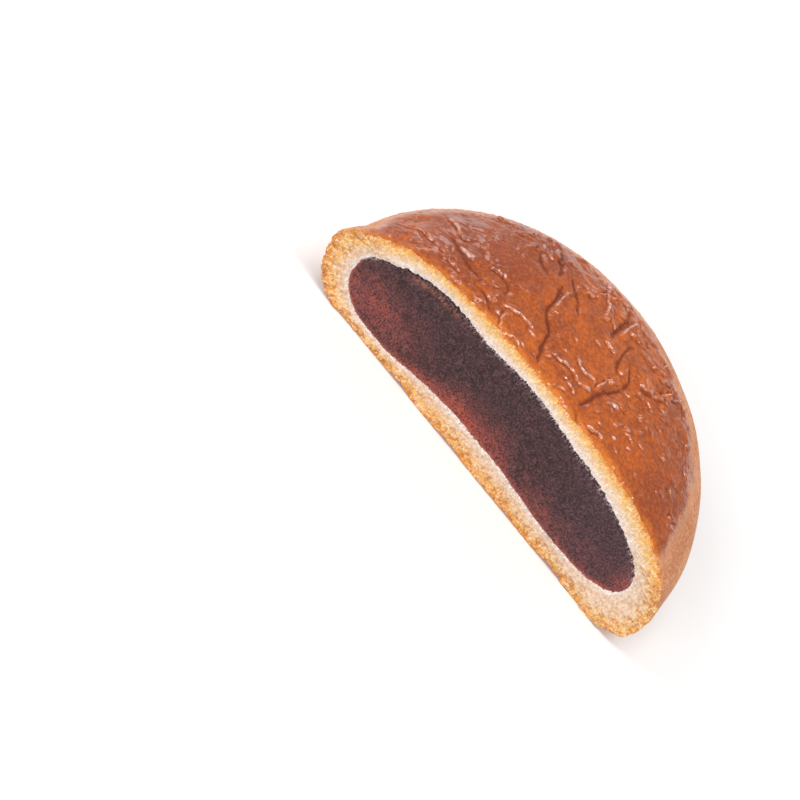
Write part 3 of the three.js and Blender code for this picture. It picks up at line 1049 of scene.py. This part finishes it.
def paste_material():
    """Dense dark paste, redder where it is moist, with drag marks below its upper edge."""
    nodes = Nodes("bean_paste")
    red, brown, upper, lower = nodes.attributes("red", "brown", "upper_gap", "lower_gap")
    blotch = nodes.noise(2.2, 3, 0.6)
    grain = nodes.noise(0.38, 3, 0.7, (1, 1, 0.7))
    drag = nodes.noise(0.35, 3, 0.6, (1, 1, 0.3))

    # Darks and reds, a cooler dark at the right and a vivid red in the middle.
    dark = nodes.mix(nodes.span(blotch, 0.36, 0.64), (58, 31, 34), (76, 45, 49))
    red_tone = nodes.mix(nodes.span(blotch, 0.4, 0.65), (140, 70, 70), (170, 80, 62))
    mottled = nodes.times(red, nodes.span(grain, 0.4, 0.6, 0.5, 1.0))
    dark = nodes.mix(nodes.attribute("cool"), dark, (76, 50, 60))
    colour = nodes.mix(mottled, dark, red_tone)
    vivid = nodes.times(nodes.attribute("vivid"), nodes.span(grain, 0.42, 0.6, 0.3, 1.0))
    colour = nodes.mix(vivid, colour, (190, 78, 50))
    colour = nodes.tint(colour, (196, 104, 76), lower, 0.7, 0.0, 0.7)

    # The brown ledge where the crumb has torn away.
    browned = nodes.times(brown, nodes.span(drag, 0.42, 0.52))
    browned = nodes.times(browned, nodes.span(blotch, 0.42, 0.54, 0.3, 1.0))
    colour = nodes.mix(browned, colour, (166, 100, 72))

    # Grains, drag marks, crumb fibres at the upper edge, and painted shade in the gap where the
    # paste tore from the crumb.
    colour = nodes.tint(colour, (142, 98, 98), grain, 0.5, 0.68, 0.5)
    high_up = nodes.span(upper, 5.0, 0.3)
    dragged = nodes.times(high_up, nodes.span(drag, 0.5, 0.62, 0, 0.5))
    colour = nodes.mix(dragged, colour, (132, 102, 106))
    colour = nodes.tint(colour, (26, 12, 15), grain, 0.5, 0.34, 0.8)
    at_top = nodes.span(upper, 1.3, 0.0)
    fibres = nodes.times(at_top, nodes.span(drag, 0.5, 0.58, 0, 0.9))
    colour = nodes.mix(fibres, colour, (228, 208, 204))
    colour = nodes.mix(nodes.attribute("gap_shade"), colour, (22, 11, 11))
    nodes.set(Base_Color=colour, Roughness=0.55, Specular_IOR_Level=0.3)
    nodes.bump(nodes.plus(grain, nodes.times(drag, 0.5)), 1.0, 0.35)
    return nodes.material


# ---------- camera, floor and light

# The photograph's view, fitted to the cut face: where the camera is seen from the bun, its turn
# about its line of sight, and the pixel where the bun's middle lands.
VIEW_ELEVATION = math.radians(48.25)
VIEW_AZIMUTH = math.radians(-3.71)
VIEW_ROLL = math.radians(53.51)
VIEW_DISTANCE = 359.9
TARGET_HEIGHT = 12.0
LENS = 82.98
SENSOR = 36.0
FRAME_PIXELS = 800
TARGET_PIXEL = (490.7, 435.0)

# In metres and watts. The lights: name, direction from the bun, distance, size and power.
LIGHTS = (
    ("strip", (0.03, -0.14, 1.0), 1.2, (1.1, 0.16), 7),
    ("left", (-0.75, -0.2, 0.6), 1.3, (0.5, 0.5), 3.0),
    ("front", (-0.3, -0.8, 0.45), 1.4, (0.8, 0.8), 5.5),
    ("rear", (-0.56, 0.78, 0.34), 1.3, (0.46, 0.32), 1.6),
)
SKY_STRENGTH = 0.5
FLOOR_REACH = 3


def add_camera():
    level, rise = math.cos(VIEW_ELEVATION), math.sin(VIEW_ELEVATION)
    back = Vector((math.sin(VIEW_AZIMUTH) * level, -math.cos(VIEW_AZIMUTH) * level, rise))
    right = Vector((math.cos(VIEW_AZIMUTH), math.sin(VIEW_AZIMUTH), 0))
    above = back.cross(right)
    rolled_right = math.cos(VIEW_ROLL) * right + math.sin(VIEW_ROLL) * above
    rolled_up = -math.sin(VIEW_ROLL) * right + math.cos(VIEW_ROLL) * above
    turned = Matrix((rolled_right, rolled_up, back)).transposed()
    pixels_per_slope = LENS / SENSOR * FRAME_PIXELS
    offset = [(pixel - FRAME_PIXELS / 2) / pixels_per_slope for pixel in TARGET_PIXEL]
    ray = Vector((offset[0], -offset[1], -1)).normalized()
    turned = turned @ ray.rotation_difference(Vector((0, 0, -1))).to_matrix()
    target = Vector(to_frame((0, 0, TARGET_HEIGHT)))
    data = bpy.data.cameras.new("camera")
    data.lens = LENS
    data.sensor_width = SENSOR
    camera = add_object("camera", data)
    camera.matrix_world = Matrix.Translation(target + back * VIEW_DISTANCE * MM) @ turned.to_4x4()
    bpy.context.scene.camera = camera


def add_light(name, direction, distance, size, power):
    """A soft rectangular light that faces the bun."""
    data = bpy.data.lights.new(name, "AREA")
    data.shape = "RECTANGLE"
    data.size, data.size_y = size
    data.energy = power
    light = add_object(name, data)
    direction = Vector(direction).normalized()
    light.location = direction * distance
    light.rotation_euler = direction.to_track_quat("Z", "Y").to_euler()
    light.visible_camera = False


def add_floor():
    nodes = Nodes("floor")
    nodes.set(Base_Color=rgba((249, 249, 249)), Roughness=0.7)
    mesh = bpy.data.meshes.new("floor")
    far = FLOOR_REACH
    corners = [(-far, -far, 0), (far, -far, 0), (far, far, 0), (-far, far, 0)]
    mesh.from_pydata(corners, [], [(0, 1, 2, 3)])
    mesh.materials.append(nodes.material)
    floor = add_object("floor", mesh)


def add_surroundings():
    world = bpy.data.worlds.new("studio")
    world.use_nodes = True
    background = world.node_tree.nodes["Background"]
    background.inputs["Color"].default_value = (1, 1, 1, 1)
    background.inputs["Strength"].default_value = SKY_STRENGTH
    bpy.context.scene.world = world
    bpy.context.scene.view_settings.view_transform = "Standard"


# ---------- the scene

add_camera()
add_floor()
add_surroundings()
for light in LIGHTS:
    add_light(*light)

edge_of_cut, left_end = build_skin(skin_material())
build_crumb(crumb_material(), edge_of_cut, left_end)
build_paste(paste_material())
